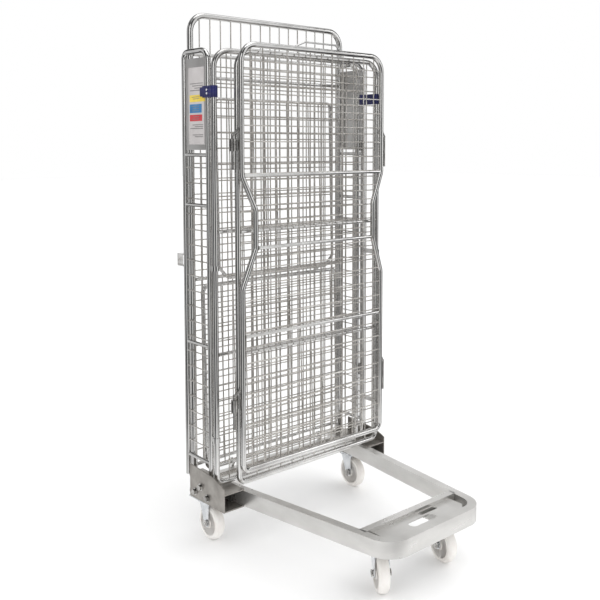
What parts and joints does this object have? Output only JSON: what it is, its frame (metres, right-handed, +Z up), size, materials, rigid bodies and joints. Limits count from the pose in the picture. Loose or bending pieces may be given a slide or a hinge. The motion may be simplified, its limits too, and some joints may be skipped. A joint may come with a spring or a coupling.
{
  "type": "roll cage container",
  "caption": "Nestable wire-mesh roll cage container on swivel casters, its wings, gate, deck and shelf folded against the back panel.",
  "frame": {"origin": "on the floor, in the middle of the whole footprint", "axes": "+Z up, +Y towards the back panel, +X to the right seen from the front"},
  "size_m": [0.748, 0.83, 1.708],
  "materials": {
    "tube": "bright zinc plate over drawn tube, satin",
    "wire": "bright zinc plate over drawn wire",
    "galvanised": "zinc plate over pressed and rolled steel, faintly mottled",
    "sheet": "flat zinc-plated sheet, satin",
    "caster_steel": "pressed steel, bright zinc",
    "fastener": "bright zinc hardware",
    "clip_plastic": "injection moulded, satin",
    "nylon": "white cast nylon, faint turning marks"
  },
  "bodies": {
    "cage": {"base_frame": "galvanised", "base_cross_bar": "galvanised", "base_toe_plate": "galvanised", "left_corner_gusset": "galvanised", "right_corner_gusset": "galvanised", "rear_beam": "galvanised", "left_rear_bracket": "galvanised", "right_rear_bracket": "galvanised", "bracket_bolts": "fastener", "back_frame": "tube", "back_mesh": "wire", "left_return_frame": "tube", "left_return_mesh": "wire", "left_label_plate": "sheet", "right_return_frame": "tube", "right_return_mesh": "wire", "right_label_plate": "sheet", "rear_floor_grille": "wire", "left_hinge_clip": "clip_plastic", "right_hinge_clip": "clip_plastic", "left_hinge_rings": "tube", "right_hinge_rings": "tube", "nesting_hook": "tube", "deck_lugs": "tube", "shelf_lugs": "tube", "caster_bolts": "fastener", "kingpins": "fastener", "caster_plate_front_left": "caster_steel", "caster_plate_front_right": "caster_steel", "caster_plate_rear_left": "caster_steel", "caster_plate_rear_right": "caster_steel"},
    "left_wing": {"left_wing_frame": "tube", "left_wing_mesh": "wire", "left_wing_barrels": "fastener"},
    "right_wing": {"right_wing_frame": "tube", "right_wing_mesh": "wire", "right_wing_barrels": "fastener"},
    "gate": {"gate_frame": "tube", "gate_mesh": "wire", "gate_drop_pins": "fastener", "gate_handle": "tube"},
    "deck": {"deck_frame": "tube", "deck_mesh": "wire"},
    "shelf": {"shelf_frame": "tube", "shelf_mesh": "wire"},
    "swivel_front_left": {"fork_front_left": "caster_steel", "axle_front_left": "fastener"},
    "roller_front_left": {"wheel_front_left": "nylon"},
    "swivel_front_right": {"fork_front_right": "caster_steel", "axle_front_right": "fastener"},
    "roller_front_right": {"wheel_front_right": "nylon"},
    "swivel_rear_left": {"fork_rear_left": "caster_steel", "axle_rear_left": "fastener"},
    "roller_rear_left": {"wheel_rear_left": "nylon"},
    "swivel_rear_right": {"fork_rear_right": "caster_steel", "axle_rear_right": "fastener"},
    "roller_rear_right": {"wheel_rear_right": "nylon"}
  },
  "joints": [
    {"name": "left_wing_swing", "type": "hinge", "parent": "cage", "child": "left_wing", "pos_m": [-0.342, 0.21411, 0.9], "axis": [0, 0, 1], "range_deg": [0, 4]},
    {"name": "right_wing_swing", "type": "hinge", "parent": "cage", "child": "right_wing", "pos_m": [0.342, 0.17611, 0.9], "axis": [0, 0, 1], "range_deg": [0, 90]},
    {"name": "gate_swing", "type": "hinge", "parent": "right_wing", "child": "gate", "pos_m": [-0.309, 0.16411, 0.9], "axis": [0, 0, 1], "range_deg": [-160, 0]},
    {"name": "deck_fold", "type": "hinge", "parent": "cage", "child": "deck", "pos_m": [0, 0.33011, 0.208], "axis": [1, 0, 0], "range_deg": [0, 5]},
    {"name": "shelf_fold", "type": "hinge", "parent": "cage", "child": "shelf", "pos_m": [0, 0.31411, 0.842], "axis": [1, 0, 0], "range_deg": [0, 4.5]},
    {"name": "swivel_turn_front_left", "type": "hinge", "parent": "cage", "child": "swivel_front_left", "pos_m": [-0.132, -0.29489, 0.116], "axis": [0, 0, 1], "continuous": true},
    {"name": "wheel_spin_front_left", "type": "hinge", "parent": "swivel_front_left", "child": "roller_front_left", "pos_m": [-0.14878, -0.31977, 0.056], "axis": [0.829, -0.5592, 0], "continuous": true},
    {"name": "swivel_turn_front_right", "type": "hinge", "parent": "cage", "child": "swivel_front_right", "pos_m": [0.132, -0.29489, 0.116], "axis": [0, 0, 1], "continuous": true},
    {"name": "wheel_spin_front_right", "type": "hinge", "parent": "swivel_front_right", "child": "roller_front_right", "pos_m": [0.12423, -0.32387, 0.056], "axis": [0.9659, -0.2588, 0], "continuous": true},
    {"name": "swivel_turn_rear_left", "type": "hinge", "parent": "cage", "child": "swivel_rear_left", "pos_m": [-0.323, 0.30011, 0.116], "axis": [0, 0, 1], "continuous": true},
    {"name": "wheel_spin_rear_left", "type": "hinge", "parent": "swivel_rear_left", "child": "roller_rear_left", "pos_m": [-0.32405, 0.27012, 0.056], "axis": [0.9994, -0.0349, 0], "continuous": true},
    {"name": "swivel_turn_rear_right", "type": "hinge", "parent": "cage", "child": "swivel_rear_right", "pos_m": [0.323, 0.30011, 0.116], "axis": [0, 0, 1], "continuous": true},
    {"name": "wheel_spin_rear_right", "type": "hinge", "parent": "swivel_rear_right", "child": "roller_rear_right", "pos_m": [0.32143, 0.27015, 0.056], "axis": [0.9986, -0.0523, 0], "continuous": true}
  ]
}
